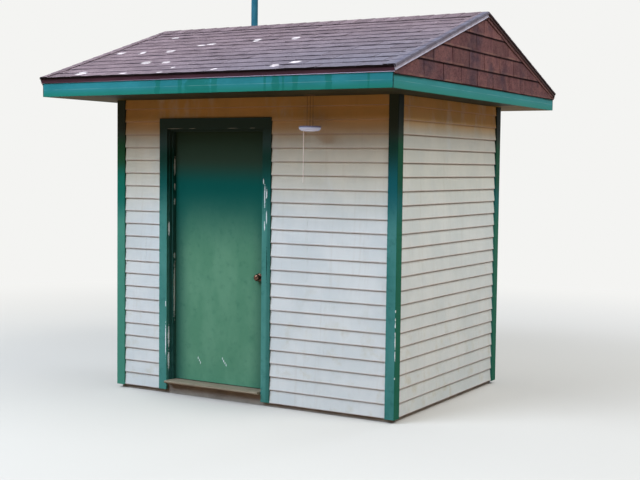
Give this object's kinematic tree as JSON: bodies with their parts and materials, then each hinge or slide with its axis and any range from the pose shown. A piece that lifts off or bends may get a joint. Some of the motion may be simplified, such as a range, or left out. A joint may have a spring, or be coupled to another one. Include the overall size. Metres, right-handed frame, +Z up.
{
  "type": "wooden outhouse",
  "caption": "Small timber-framed outhouse with lap siding, a recessed door that swings inwards, and a low gable roof with a boxed overhang on all sides.",
  "frame": {"origin": "centre of the building on the ground, at the underside of the slab", "axes": "+Z up; -Y is the front with the door; +X and -X are the gable ends, +X on the right of the door"},
  "size_m": [3.042, 3.0892, 3.4595],
  "materials": {
    "concrete": "rough cast concrete",
    "framing_timber": "sawn softwood",
    "plywood": "bare plywood",
    "siding_paint": "weathered off-white paint",
    "trim_paint": "green paint, peeling",
    "fascia_paint": "green paint, faded",
    "door_paint": "green paint, scuffed",
    "soffit_paint": "cream paint",
    "sill_timber": "worn bare timber",
    "hinge_steel": "dull plated steel",
    "knob_brass": "tarnished brass",
    "roof_shingle": "mineral granules on asphalt",
    "gable_shingle": "mineral granules on asphalt",
    "rake_shingle": "mineral granules on asphalt",
    "eave_metal": "dark red-brown coil-coated sheet",
    "rake_metal": "weathered sheet",
    "vent_plastic": "painted plastic pipe",
    "vent_metal": "painted sheet",
    "flashing_metal": "dull sheet",
    "lamp_plastic": "white moulding",
    "wire_steel": "wire"
  },
  "bodies": {
    "building": {"floor_slab": "concrete", "wall_frame": "framing_timber", "front_wall_left": "plywood", "front_wall_right": "plywood", "front_wall_over_door": "plywood", "left_wall": "plywood", "right_wall": "plywood", "back_wall": "plywood", "front_siding": "siding_paint", "left_siding": "siding_paint", "right_siding": "siding_paint", "back_siding": "siding_paint", "front_lining": "plywood", "side_linings": "plywood", "back_lining": "plywood", "ceiling": "plywood", "front_corner_boards": "trim_paint", "back_corner_boards": "trim_paint", "door_side_casings": "trim_paint", "door_head_casing": "trim_paint", "door_side_jambs": "trim_paint", "door_head_jamb": "trim_paint", "door_stops": "trim_paint", "door_sill": "sill_timber", "frame_hinge_leaves": "hinge_steel", "strike_plate": "knob_brass", "roof_trusses": "framing_timber", "roof_deck_front": "plywood", "roof_deck_back": "plywood", "shingles_front": "roof_shingle", "shingles_back": "roof_shingle", "ridge_cap": "roof_shingle", "rake_shingles": "rake_shingle", "rake_drip_edges": "rake_metal", "eave_drip_edges": "eave_metal", "eave_fascias": "fascia_paint", "gable_fascias": "fascia_paint", "soffit_boards": "soffit_paint", "gable_walls": "plywood", "gable_shingles": "gable_shingle", "vent_pipe": "vent_plastic", "vent_flashing": "flashing_metal", "vent_cap": "vent_metal", "hanging_lamp": "lamp_plastic", "lamp_wires": "wire_steel", "lamp_rod": "lamp_plastic"},
    "door": {"door_leaf": "door_paint", "door_hinge_leaves": "hinge_steel", "door_knobs": "knob_brass", "door_latch": "knob_brass"}
  },
  "joints": [
    {"name": "door_hinge", "type": "hinge", "parent": "building", "child": "door", "pos_m": [-0.7425, -0.81, 1.1], "axis": [0, 0, 1], "range_deg": [0, 100]}
  ]
}
